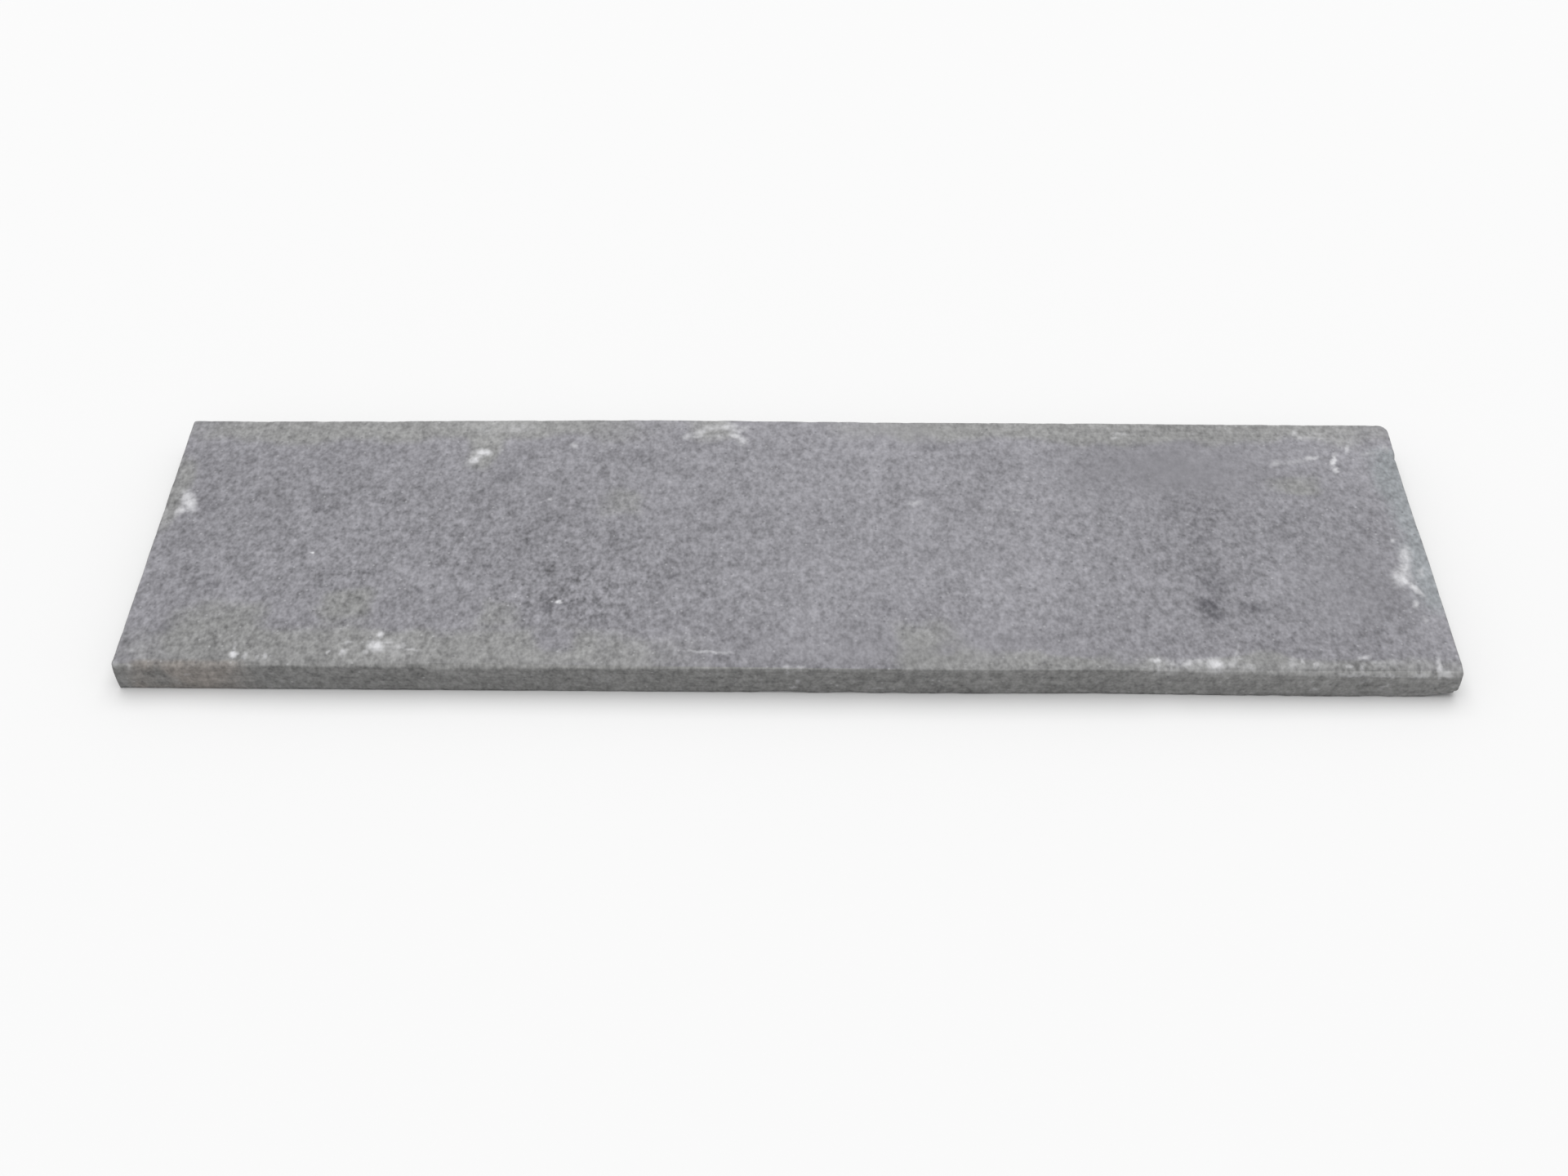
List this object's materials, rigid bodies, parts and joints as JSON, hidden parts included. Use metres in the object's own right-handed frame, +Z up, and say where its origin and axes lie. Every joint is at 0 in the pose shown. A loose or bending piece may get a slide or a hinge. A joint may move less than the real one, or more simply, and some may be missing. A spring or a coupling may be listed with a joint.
{
  "type": "sharpening whetstone",
  "caption": "Long thin flat slab of fine-grained grey stone for whetting carving tools, with sawn faces and one worn front arris.",
  "frame": {"origin": "middle of the underside, on the surface that the stone lies on", "axes": "+X along the length towards the end with the worn front arris, +Y across the width away from that arris, +Z up out of the working face"},
  "size_m": [0.254, 0.07, 0.007],
  "materials": {
    "hone_stone": "sawn and rubbed flat, dry and matt, mottled purplish grey with a fine grain and pale scuffs along the edges"
  },
  "bodies": {
    "root": {"whetstone": "hone_stone"}
  },
  "joints": []
}
